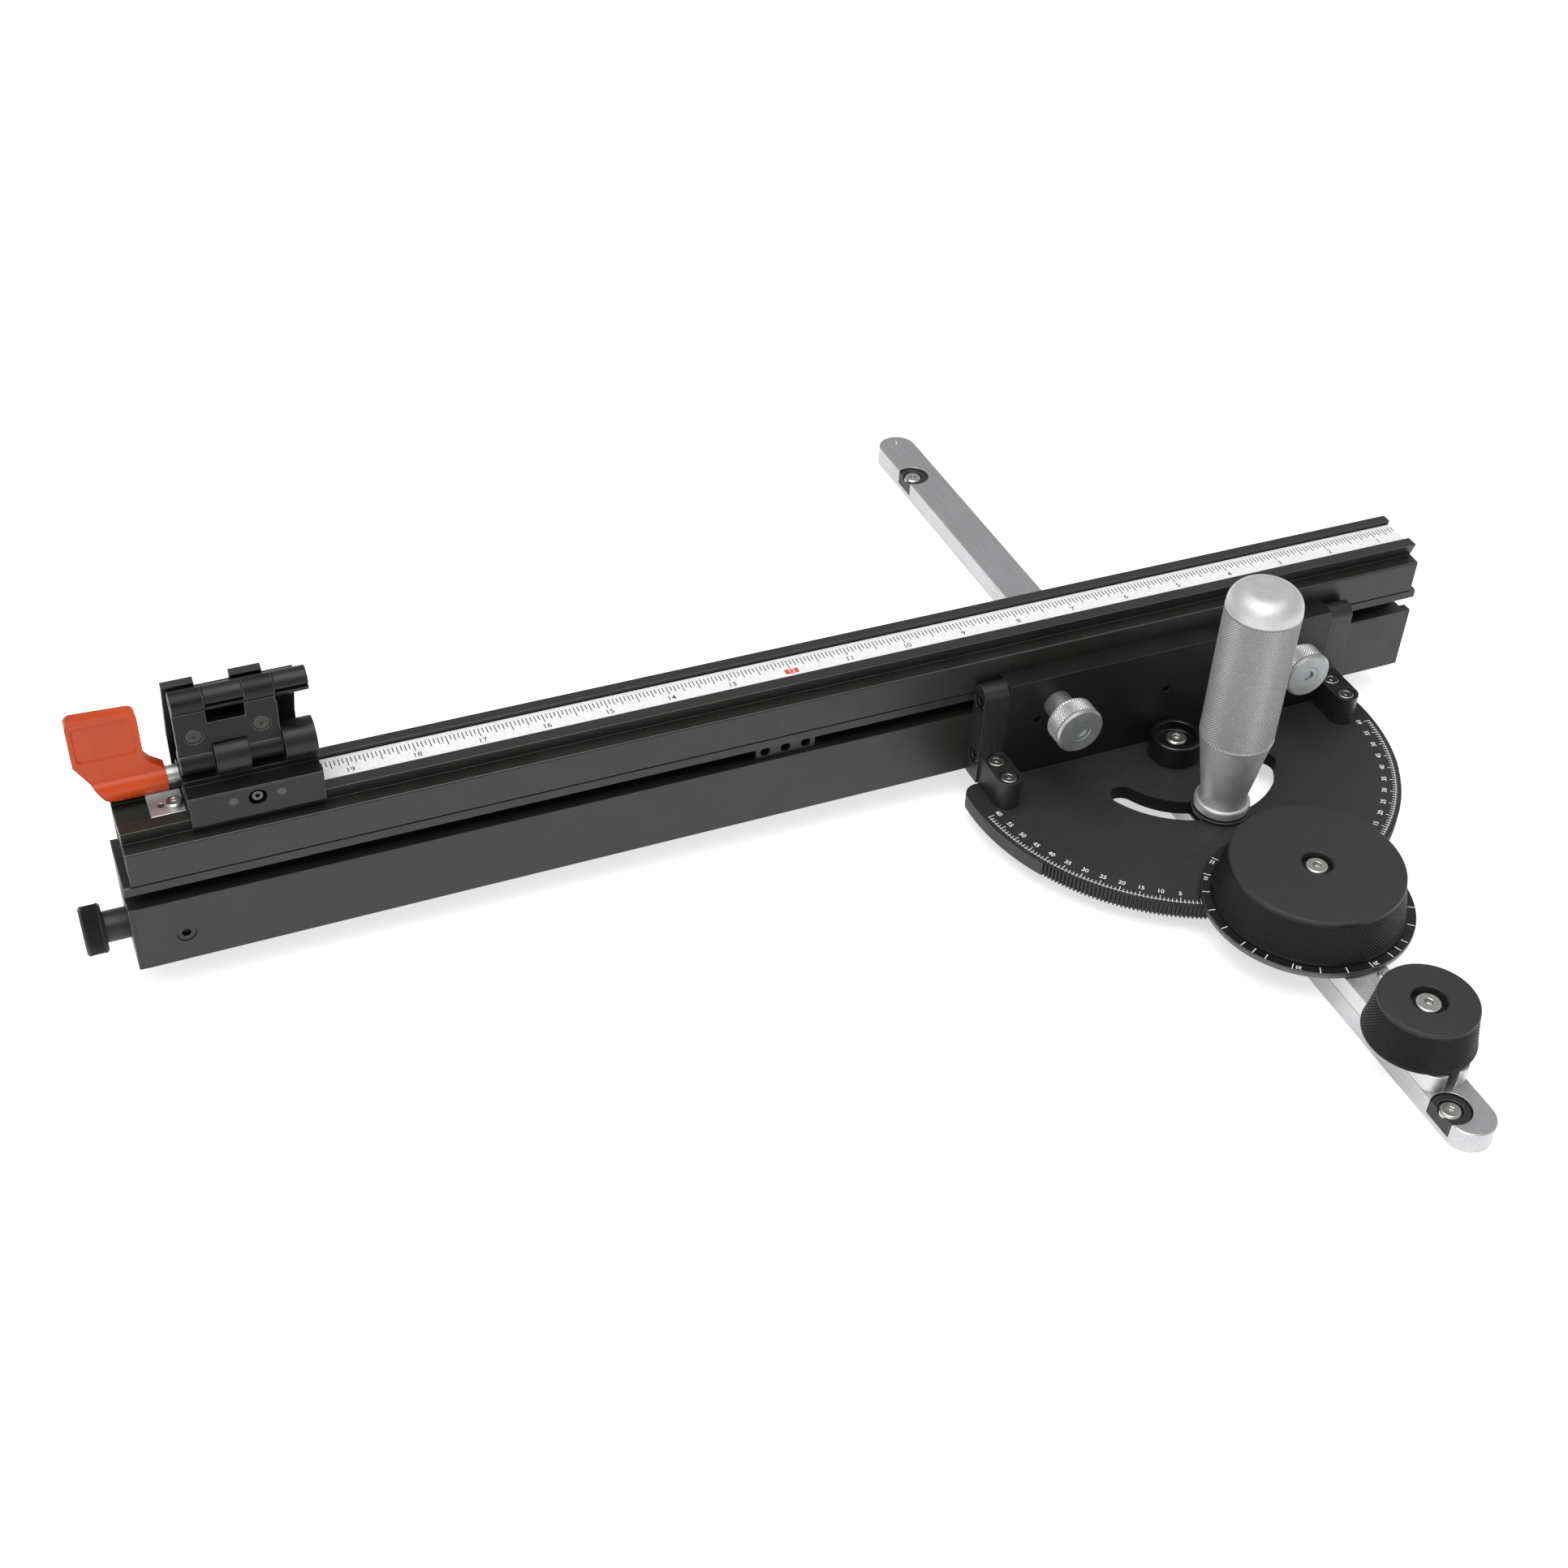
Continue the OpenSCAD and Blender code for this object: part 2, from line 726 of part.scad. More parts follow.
module stop_carriage() {
    color([0.08, 0.08, 0.08]) difference() {
        union() {
            along_x(stop_left, stop_w) carriage_outline();
            rod_x(barrel_a[0], barrel_a[1], hinge_y, low_hinge_z, barrel_r);
            rod_x(barrel_b[0], barrel_b[1], hinge_y, low_hinge_z, barrel_r);
        }
        rod_x(stop_left - 1, stop_right + 1, hinge_y, low_hinge_z, low_pin_r + 0.02);
        rod_x(stop_left - 1, stop_right - 4, lever_y, lever_z, lever_r + fit);
        rod_y(21, 28, stop_mid, set_z, 3.4);
        rod_y(21, 36, stop_mid, set_z, 2.05, 32);
        for (s = [-1, 1]) rod_y(21, 29, stop_mid + dowel_x * s, set_z, 1.9, 32);
        translate([stop_mid - jaw_len / 2 - 0.2, lever_y - jaw_w / 2 - side_gap, rail_floor])
            cube([jaw_len + 0.4, jaw_w + 2 * side_gap, lever_z - rail_floor]);
    }
}

module stop_set_screw() {
    color([0.5, 0.5, 0.5]) difference() {
        rod_y(23.2, 35, stop_mid, set_z, 2);
        rod_y(22, 26, stop_mid, set_z, 1.1, 6);
    }
}

module stop_dowels() {
    color([0.3, 0.3, 0.3]) for (s = [-1, 1])
        rod_y(22.7, 28.8, stop_mid + dowel_x * s, set_z, 1.88, 32);
}

// Foot that the lever's cam presses on the bottom of the rail channel
module clamp_jaw() {
    color("goldenrod") translate([stop_mid - jaw_len / 2, lever_y - jaw_w / 2, tape_top + gap])
        cube([jaw_len, jaw_w, lever_z - lever_r - side_gap - tape_top - gap]);
}

module lower_hinge_pin() {
    color("silver") rod_x(stop_left + 0.4, stop_right - 0.2, hinge_y, low_hinge_z, low_pin_r);
}

module lever_paddle_outline() {
    left = -438.8;
    right = -414.3;
    top = 111.5;
    low = lever_z - hub_r;
    round_top = 3;
    polygon([
        [left, 91.4], [left, top - round_top], [left + round_top, top],
        [right - round_top, top - 1], [right, top - 1 - round_top], [right, 90],
        [right + 2, 87], [right + 6.5, lever_z + hub_r], [right + 6.5, low],
        [left + 12.1, low], [left + 9.4, low + 1.6]
    ]);
    translate([left + round_top, top - round_top]) circle(r = round_top, $fn = mid);
    translate([right - round_top, top - 1 - round_top]) circle(r = round_top, $fn = mid);
}

module stop_lever() {
    half_t = 2.5;
    hub_left = -440;
    hub_right = -407.8;
    recess_at = [-437, 92.6];
    recess_size = [20.7, 15.6];
    color([0.85, 0.28, 0.15]) difference() {
        union() {
            translate([0, lever_y + half_t, 0]) rotate([90, 0, 0])
                linear_extrude(2 * half_t) lever_paddle_outline();
            intersection() {
                rod_x(hub_left, hub_right, lever_y, lever_z, hub_r);
                translate([0, lever_y + hub_r, 0]) rotate([90, 0, 0])
                    linear_extrude(2 * hub_r) lever_paddle_outline();
            }
        }
        rod_x(shaft_left, hub_right + 1, lever_y, lever_z, lever_r + 0.02);
        translate([recess_at[0], lever_y - half_t + 0.6, recess_at[1]]) rotate([90, 0, 0])
            linear_extrude(2) rounded_square(recess_size[0], recess_size[1], 1.8);
    }
}

module lever_shaft() {
    color("silver") rod_x(shaft_left, stop_right - 4.3, lever_y, lever_z, lever_r);
}

module stop_arm() {
    left = stop_left + 0.2;
    right = stop_left + 36.7;
    arm_t = 3.2;
    low_b = [barrel_a[1] + side_gap, right];
    top_b = [stop_left + 25.4, right - 0.4];
    color([0.08, 0.08, 0.08]) difference() {
        union() {
            translate([left, arm_front, low_hinge_z])
                cube([right - left, arm_t, high_hinge_z - low_hinge_z]);
            rod_x(left, barrel_a[0] - side_gap, hinge_y, low_hinge_z, arm_knuckle_r);
            rod_x(low_b[0], low_b[1], hinge_y, low_hinge_z, arm_knuckle_r);
            rod_x(left, stop_left + 11.7, hinge_y, high_hinge_z, top_knuckle_r);
            rod_x(top_b[0], top_b[1], hinge_y, high_hinge_z, top_knuckle_r);
        }
        translate([barrel_a[0] - side_gap, 20, 70]) cube([barrel_a[1] - barrel_a[0] + 2 * side_gap,
            30, low_hinge_z + barrel_r + 0.5 - 70]);
        translate([stop_left + 11.7, 20, 105.4]) cube([13.7, 30, 30]);
        translate([top_b[1], 20, 108.5]) cube([5, 30, 30]);
        rod_x(stop_left - 1, stop_right, hinge_y, low_hinge_z, low_pin_r + fit);
        rod_x(stop_left - 1, stop_right, hinge_y, high_hinge_z, high_pin_r + 0.02);
        for (x = leaf_screw_x) {
            rod_y(20, 40, stop_left + x, leaf_screw_z, 1.5, 32);
            rod_y(20, arm_front + 1.2, stop_left + x, leaf_screw_z, 3.2);
        }
    }
}

module arm_screws() {
    color([0.2, 0.2, 0.2]) for (x = leaf_screw_x)
        translate([stop_left + x, arm_front + 1.2, leaf_screw_z]) rotate([90, 0, 0])
            socket_screw(3.1, 1.1, 1.45, 5, 1.1, 0.4);
}

module upper_hinge_pin() {
    color("silver") rod_x(stop_left + 0.4, stop_left + 48, hinge_y, high_hinge_z, high_pin_r);
}

// Bent leaf: knuckles on the upper hinge, a slanting web and a straight blade behind the fence
module finger_outline(top_y, top_z) {
    blade_t = 3.2;
    front = fence_back + 1;
    bend_z = 88.5;
    polygon([
        [top_y, top_z], [front, bend_z], [front, finger_low], [front + blade_t, finger_low],
        [front + blade_t, bend_z + 0.6], [top_y + blade_t - 0.4, top_z + 0.9]
    ]);
}

module stop_finger() {
    left = stop_left - 1;
    right = -358;
    knuckle_a = [stop_left + 12, stop_left + 25.1];
    knuckle_b = [stop_left + 36.6, stop_left + 48.3];
    slit_low = high_hinge_z - 1.1;
    slit_high = high_hinge_z + 0.5;
    color([0.08, 0.08, 0.08]) difference() {
        union() {
            along_x(left, right - left) finger_outline(41.2, 112.8);
            for (x = [left, stop_left + 22.7]) along_x(x, 11.3) finger_outline(39, 118.2);
            for (k = [knuckle_a, knuckle_b]) {
                rod_x(k[0], k[1], hinge_y, high_hinge_z, top_knuckle_r);
                along_x(k[0], min(k[1], right) - k[0])
                    polygon([[hinge_y, 110.2], [44.6, 108.6], [42.6, 113.4], [hinge_y, 116]]);
            }
        }
        rod_x(stop_left - 2, stop_right + 1, hinge_y, high_hinge_z, high_pin_r + fit);
        for (k = [knuckle_a, knuckle_b]) translate([k[0] - 1, 28, slit_low])
            cube([k[1] - k[0] + 2, 3.2, slit_high - slit_low]);
    }
}

// ---- fence accessories ----

module extension_rod() {
    color([0.1, 0.1, 0.1]) rod_x(rod_left, rod_left + rod_inside, bore_y, bore_z, rod_r, fine);
}

module rod_knob() {
    color([0.07, 0.07, 0.07]) translate([rod_left - 8, bore_y, bore_z]) rotate([0, 90, 0])
        rotate_extrude($fn = fine)
            polygon([[0, 0], [8.8, 0], [9.5, 0.7], [9.5, 7.3], [8.8, 8], [0, 8]]);
}

module accessory_tee_nut() {
    left = -184.7;
    len = 25.5;
    holes = [for (i = [-1 : 1]) left + len / 2 + 8.8 * i];
    color([0.1, 0.1, 0.1]) difference() {
        along_x(left, len) tee_profile(23, 30.4);
        for (x = holes) rod_y(20, 34, x, (slot_low + slot_high) / 2, 2.1);
    }
}

mitre_bar();
snug_discs();
snug_screws();
pivot_boss();
pivot_screw();
handle_stud();
handle_washer();
protractor_plate();
face_plate();
bracket_left();
bracket_right();
bracket_foot_screws();
bracket_side_screws();
fence_extrusion();
fence_extrusion_web();
fence_extrusion_lip();
fence_rail();
fence_cap_left();
fence_cap_right();
scale_tape();
rail_end_plate();
rail_end_screw();
fence_tee_nuts();
rod_lock_screw();
thumb_screw_left();
thumb_screw_right();
pinion_block();
block_prongs();
index_plate();
index_screw();
drive_knob();
dial_ring();
drive_knob_screw();
drive_spindle();
pinion();
lock_knob();
lock_knob_screw();
clamp_handle();
stop_carriage();
stop_set_screw();
stop_dowels();
clamp_jaw();
lower_hinge_pin();
stop_lever();
lever_shaft();
stop_arm();
arm_screws();
upper_hinge_pin();
stop_finger();
extension_rod();
rod_knob();
accessory_tee_nut();
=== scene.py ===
import json
import math

import bmesh
import bpy
from mathutils import Matrix, Quaternion, Vector

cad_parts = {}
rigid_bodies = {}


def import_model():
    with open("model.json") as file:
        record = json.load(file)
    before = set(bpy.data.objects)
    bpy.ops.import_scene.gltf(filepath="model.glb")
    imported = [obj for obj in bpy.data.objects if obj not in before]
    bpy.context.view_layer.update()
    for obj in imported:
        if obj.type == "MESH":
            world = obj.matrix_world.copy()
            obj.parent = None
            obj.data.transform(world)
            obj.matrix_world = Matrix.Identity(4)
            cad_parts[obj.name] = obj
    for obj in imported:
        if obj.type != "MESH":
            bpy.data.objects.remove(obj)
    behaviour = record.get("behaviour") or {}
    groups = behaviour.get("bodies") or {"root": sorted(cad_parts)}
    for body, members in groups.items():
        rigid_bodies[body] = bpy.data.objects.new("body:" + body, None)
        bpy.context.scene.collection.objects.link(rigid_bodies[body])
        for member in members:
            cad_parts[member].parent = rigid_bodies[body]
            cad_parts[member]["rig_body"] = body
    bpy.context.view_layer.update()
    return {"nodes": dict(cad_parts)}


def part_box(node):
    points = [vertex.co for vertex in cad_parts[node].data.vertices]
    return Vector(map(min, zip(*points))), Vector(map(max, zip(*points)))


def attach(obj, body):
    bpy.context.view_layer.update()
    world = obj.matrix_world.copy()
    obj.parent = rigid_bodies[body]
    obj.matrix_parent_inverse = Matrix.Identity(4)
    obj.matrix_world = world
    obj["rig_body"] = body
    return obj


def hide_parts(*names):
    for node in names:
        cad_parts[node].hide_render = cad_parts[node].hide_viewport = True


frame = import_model()
MM = 0.001


# ---------------------------------------------------------------- camera, floor, light

CAMERA_PLACE = Vector((-453.3, -588.8, 584.2)) * MM
CAMERA_TARGET = Vector((-161.5, 45.4, 0)) * MM
CAMERA_ROLL = math.radians(2.93)
CAMERA_ANGLE = math.radians(39.84)
CAMERA_NEAR = 0.01
WORLD_GLOW = 0.6
FLOOR_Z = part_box("mitre_bar")[0].z
FLOOR_SIZE = 30
FLOOR_GLOW = 0.55
FLOOR_COLOUR = (0.8, 0.8, 0.8, 1)
FLOOR_ROUGHNESS = 0.9
FLOOR_CENTRE = Vector((-0.15, 0, FLOOR_Z))


def link(obj):
    bpy.context.scene.collection.objects.link(obj)
    return obj


def make_camera():
    data = bpy.data.cameras.new("camera")
    data.angle = CAMERA_ANGLE
    data.clip_start = CAMERA_NEAR
    camera = link(bpy.data.objects.new("camera", data))
    aim = (CAMERA_TARGET - CAMERA_PLACE).to_track_quat("-Z", "Y")
    camera.rotation_mode = "QUATERNION"
    camera.rotation_quaternion = aim @ Quaternion((0, 0, 1), CAMERA_ROLL)
    camera.location = CAMERA_PLACE
    bpy.context.scene.camera = camera


def make_area(name, place, target, size, power):
    data = bpy.data.lights.new(name, "AREA")
    data.shape = "RECTANGLE"
    data.size, data.size_y = size
    data.energy = power
    lamp = link(bpy.data.objects.new(name, data))
    lamp.location = place
    lamp.rotation_euler = (Vector(target) - Vector(place)).to_track_quat("-Z", "Y").to_euler()


def make_world(strength):
    world = bpy.data.worlds.new("studio")
    world.use_nodes = True
    background = world.node_tree.nodes["Background"]
    background.inputs["Color"].default_value = (1, 1, 1, 1)
    background.inputs["Strength"].default_value = strength
    bpy.context.scene.world = world
    bpy.context.scene.view_settings.view_transform = "Standard"


def make_floor():
    half = FLOOR_SIZE / 2
    mesh = bpy.data.meshes.new("floor")
    corners = [(-half, -half, 0), (half, -half, 0), (half, half, 0), (-half, half, 0)]
    mesh.from_pydata(corners, [], [(0, 1, 2, 3)])
    floor = link(bpy.data.objects.new("floor", mesh))
    floor.location = FLOOR_CENTRE
    material = bpy.data.materials.new("floor_white")
    material.use_nodes = True
    shader = material.node_tree.nodes["Principled BSDF"]
    shader.inputs["Base Color"].default_value = FLOOR_COLOUR
    shader.inputs["Roughness"].default_value = FLOOR_ROUGHNESS
    shader.inputs["Emission Color"].default_value = (1, 1, 1, 1)
    shader.inputs["Emission Strength"].default_value = FLOOR_GLOW
    mesh.materials.append(material)


# ---------------------------------------------------------------- materials

NOISE_LOW, NOISE_HIGH = 0.3, 0.7
EVEN = (1, 1, 1)
LONG_Y = (1, 0.03, 1)
ROUND_Z = (1, 1, 0.1)


class Graph:
    """A material's node tree, with short calls for the nodes it is built from."""

    def __init__(self, name):
        self.material = bpy.data.materials.new(name)
        self.material.use_nodes = True
        self.tree = self.material.node_tree
        self.shader = self.tree.nodes["Principled BSDF"]
        self.place = self.tree.nodes.new("ShaderNodeTexCoord").outputs["Object"]

    def put(self, **values):
        for name, value in values.items():
            self.shader.inputs[name.replace("_", " ")].default_value = value

    def join(self, source, target):
        self.tree.links.new(source, target)

    def mapped(self, scale):
        node = self.tree.nodes.new("ShaderNodeMapping")
        node.inputs["Scale"].default_value = scale
        self.join(self.place, node.inputs["Vector"])
        return node.outputs["Vector"]

    def noise(self, scale, detail, stretch=EVEN, rough=0.55):
        node = self.tree.nodes.new("ShaderNodeTexNoise")
        node.inputs["Scale"].default_value = scale
        node.inputs["Detail"].default_value = detail
        node.inputs["Roughness"].default_value = rough
        self.join(self.mapped(stretch), node.inputs["Vector"])
        return node.outputs["Fac"]

    def ramp(self, value, stops):
        node = self.tree.nodes.new("ShaderNodeValToRGB")
        elements = node.color_ramp.elements
        for element, (at, colour) in zip(elements, stops):
            element.position = at
            element.color = (*colour, 1)
        for at, colour in stops[2:]:
            elements.new(at).color = (*colour, 1)
        self.join(value, node.inputs["Fac"])
        return node.outputs["Color"]

    def span(self, value, low, high):
        """A noise, which mostly stays near its middle, spread over a range."""
        node = self.tree.nodes.new("ShaderNodeMapRange")
        node.inputs["From Min"].default_value = NOISE_LOW
        node.inputs["From Max"].default_value = NOISE_HIGH
        node.inputs["To Min"].default_value = low
        node.inputs["To Max"].default_value = high
        self.join(value, node.inputs["Value"])
        return node.outputs["Result"]

    def blend(self, factor, first, second):
        node = self.tree.nodes.new("ShaderNodeMix")
        node.data_type = "RGBA"
        self.join(factor, node.inputs["Factor"])
        self.join(first, node.inputs["A"])
        self.join(second, node.inputs["B"])
        return node.outputs["Result"]

    def bump(self, heights, distance):
        previous = None
        for height in heights:
            node = self.tree.nodes.new("ShaderNodeBump")
            node.inputs["Strength"].default_value = 1
            node.inputs["Distance"].default_value = distance
            self.join(height, node.inputs["Height"])
            if previous:
                self.join(previous, node.inputs["Normal"])
            previous = node.outputs["Normal"]
        self.join(previous, self.shader.inputs["Normal"])


def scaled(colour, factor):
    return tuple(min(1.0, c * factor) for c in colour)


def anodised(name, colour, rough, shine):
    """Dyed anodised aluminium: a fine etched grain, faint handling marks, a slight uneven dye."""
    g = Graph(name)
    g.put(Metallic=0.0, IOR=1.5, Specular_IOR_Level=shine)
    cloud = g.noise(14, 4)
    speck = g.noise(1500, 2)
    smear = g.noise(60, 5)
    tone = g.ramp(cloud, [(NOISE_LOW, scaled(colour, 0.8)), (NOISE_HIGH, scaled(colour, 1.2))])
    dust = g.ramp(speck, [(0.35, scaled(colour, 0.55)), (0.68, scaled(colour, 1.6))])
    g.join(g.blend(g.span(speck, 0.25, 0.6), tone, dust), g.shader.inputs["Base Color"])
    g.join(g.span(smear, rough - 0.06, rough + 0.08), g.shader.inputs["Roughness"])
    g.bump([speck, smear], 0.03 * MM)
    return g.material


def bare_metal(name, colour, rough, along=EVEN, grain=900, depth=0.02 * MM, metallic=1.0):
    """Bright metal with machining or brushing lines along one direction."""
    g = Graph(name)
    g.put(Metallic=metallic)
    lines = g.noise(grain, 3, along)
    cloud = g.noise(22, 4)
    scuff = g.noise(180, 6, rough=0.7)
    light = g.ramp(cloud, [(NOISE_LOW, scaled(colour, 0.9)), (NOISE_HIGH, scaled(colour, 1.08))])
    dark = g.ramp(lines, [(0.35, scaled(colour, 0.82)), (0.65, scaled(colour, 1.1))])
    g.join(g.blend(g.span(scuff, 0.3, 0.75), light, dark), g.shader.inputs["Base Color"])
    g.join(g.span(scuff, rough - 0.06, rough + 0.1), g.shader.inputs["Roughness"])
    g.bump([lines], depth)
    return g.material


def moulded(name, colour, rough, coat=0.0, depth=0.03 * MM, glow=1.12, shine=0.45):
    """Moulded plastic with a faint orange-peel skin and flow marks."""
    g = Graph(name)
    g.put(Metallic=0.0, IOR=1.48, Specular_IOR_Level=shine)
    g.put(Coat_Weight=coat, Coat_Roughness=0.12)
    flow = g.noise(40, 4, (1, 1, 0.4))
    peel = g.noise(520, 2)
    g.join(g.ramp(flow, [(NOISE_LOW, scaled(colour, 0.9)), (NOISE_HIGH, scaled(colour, glow))]),
           g.shader.inputs["Base Color"])
    g.join(g.span(flow, rough - 0.05, rough + 0.07), g.shader.inputs["Roughness"])
    g.bump([peel], depth)
    return g.material


def printed(name, colour, rough=0.45):
    """Ink or enamel laid on metal, with slightly uneven cover."""
    g = Graph(name)
    g.put(Metallic=0.0)
    cover = g.noise(700, 3)
    g.join(g.ramp(cover, [(NOISE_LOW, scaled(colour, 0.86)), (0.6, colour)]),
           g.shader.inputs["Base Color"])
    g.join(g.span(cover, rough - 0.05, rough + 0.1), g.shader.inputs["Roughness"])
    g.bump([cover], 0.01 * MM)
    return g.material


plate_black = anodised("plate_black", (0.0165, 0.0178, 0.0168), 0.5, 0.4)
fence_black = anodised("fence_black", (0.0098, 0.0112, 0.009), 0.42, 0.44)
face_black = anodised("face_black", (0.007, 0.0076, 0.0065), 0.4, 0.35)
stop_black = anodised("stop_black", (0.0058, 0.0072, 0.0064), 0.36, 0.3)
bracket_black = anodised("bracket_black", (0.013, 0.0145, 0.0130), 0.38, 0.4)
knob_black = anodised("knob_black", (0.016, 0.0166, 0.0158), 0.52, 0.4)
knurl_black = anodised("knurl_black", (0.007, 0.0073, 0.0066), 0.42, 0.22)
dial_black = anodised("dial_black", (0.006, 0.006, 0.0055), 0.42, 0.3)
# A lighter black for broken edges: painted highlight, with some wear.
edge_wear_and_highlight_black = anodised("edge_wear_and_highlight_black", (0.06, 0.063, 0.059), 0.3, 0.5)
gloss_black = moulded("gloss_black", (0.006, 0.006, 0.006), 0.16, coat=0.3)
dial_edge = bare_metal("dial_edge", (0.12, 0.12, 0.115), 0.4, ROUND_Z)
bar_silver = bare_metal("bar_silver", (0.47, 0.475, 0.485), 0.36, LONG_Y, 1400)
block_silver = bare_metal("block_silver", (0.60, 0.605, 0.60), 0.45, grain=1800, depth=0.04 * MM)
turned_silver = bare_metal("turned_silver", (0.57, 0.573, 0.566), 0.5, grain=1700, metallic=0.82)
knurl_silver = bare_metal("knurl_silver", (0.40, 0.404, 0.396), 0.4, grain=1500, depth=0.01 * MM,
                          metallic=0.85)
thumb_silver = bare_metal("thumb_silver", (0.36, 0.372, 0.378), 0.42, grain=1700, metallic=0.9)
screw_grey = bare_metal("screw_grey", (0.24, 0.235, 0.215), 0.36)
# Painted shade: the near-black that stands for the shadow on the walls of the plate's curved slot.
slot_shade_black = anodised("slot_shade_black", (0.003, 0.0031, 0.003), 0.6, 0.1)
arm_black = anodised("arm_black", (0.0038, 0.0046, 0.0042), 0.38, 0.22)
# A brighter silver for broken edges: painted highlight, with some wear.
edge_wear_and_highlight_silver = bare_metal("edge_wear_and_highlight_silver", (0.78, 0.785, 0.79), 0.25)
screw_silver = bare_metal("screw_silver", (0.42, 0.42, 0.40), 0.34, grain=700)
screw_black = bare_metal("screw_black", (0.05, 0.05, 0.046), 0.36)
dark_pin = bare_metal("dark_pin", (0.08, 0.083, 0.08), 0.42)
jaw_brass = bare_metal("jaw_brass", (0.70, 0.50, 0.22), 0.35)
cap_black = moulded("cap_black", (0.009, 0.0095, 0.009), 0.42)
disc_black = moulded("disc_black", (0.012, 0.012, 0.012), 0.5)
lever_red = moulded("lever_red", (0.40, 0.044, 0.004), 0.34, coat=0.12, depth=0.02 * MM, glow=1.2,
                    shine=0.25)
tape_white = printed("tape_white", (0.72, 0.722, 0.735), 0.4)
ink_white = printed("ink_white", (0.85, 0.85, 0.84))
ink_grey = printed("ink_grey", (0.018, 0.018, 0.021))
ink_red = printed("ink_red", (0.62, 0.035, 0.02))


# ---------------------------------------------------------------- finishing CAD shapes

WELD = 0.002 * MM
FLAT_ANGLE = math.radians(0.5)
EDGE_ANGLE = 30
SLOT_REACH = 60 * MM


def smooth_by_angle(mesh, degrees):
    mesh.polygons.foreach_set("use_smooth", [True] * len(mesh.polygons))
    mesh.set_sharp_from_angle(angle=math.radians(degrees))


def applied(piece):
    """The piece's mesh with its modifiers worked in."""
    graph = bpy.context.evaluated_depsgraph_get()
    mesh = bpy.data.meshes.new_from_object(piece.evaluated_get(graph))
    piece.modifiers.clear()
    piece.data = mesh
    return mesh


def joined(nodes):
    """One mesh from nodes that touch, with no seam left where they meet."""
    piece = link(bpy.data.objects.new("joining", frame["nodes"][nodes[0]].data.copy()))
    for node in nodes[1:]:
        union = piece.modifiers.new(node, "BOOLEAN")
        union.operation = "UNION"
        union.solver = "EXACT"
        union.object = frame["nodes"][node]
    mesh = applied(piece)
    bpy.data.objects.remove(piece)
    return mesh


def finished(node, face, edge, width, segments=2, others=()):
    """A node with its edges broken, as deburring does. The broken edge takes a lighter material,
    painted highlight with some wear, and its width is in millimetres."""
    source = frame["nodes"][node]
    mesh = joined((node, *others)) if others else source.data.copy()
    mesh.materials.clear()
    mesh.materials.append(face)
    mesh.materials.append(edge)
    shape = bmesh.new()
    shape.from_mesh(mesh)
    bmesh.ops.remove_doubles(shape, verts=shape.verts, dist=WELD)
    bmesh.ops.dissolve_limit(shape, angle_limit=FLAT_ANGLE, verts=shape.verts, edges=shape.edges)
    for polygon in shape.faces:
        polygon.material_index = 0
    shape.to_mesh(mesh)
    shape.free()
    mesh.name = node + "_finish"
    piece = link(bpy.data.objects.new(node + "_finish", mesh))
    smooth_by_angle(mesh, EDGE_ANGLE)
    bevel = piece.modifiers.new("edge", "BEVEL")
    bevel.width = width * MM
    bevel.segments = segments
    bevel.limit_method = "ANGLE"
    bevel.angle_limit = math.radians(EDGE_ANGLE)
    # Bevel faces take the second material: painted highlight, with some wear, along each broken
    # edge.
    bevel.material = 1
    bevel.use_clamp_overlap = True
    even = piece.modifiers.new("even", "WEIGHTED_NORMAL")
    even.keep_sharp = True
    applied(piece)
    keep(piece, source["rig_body"], node, *others)
    return piece


def keep(piece, body, *nodes):
    """Fixes a piece to its body, and hides the nodes that it stands for."""
    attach(piece, body)
    if nodes:
        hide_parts(*nodes)


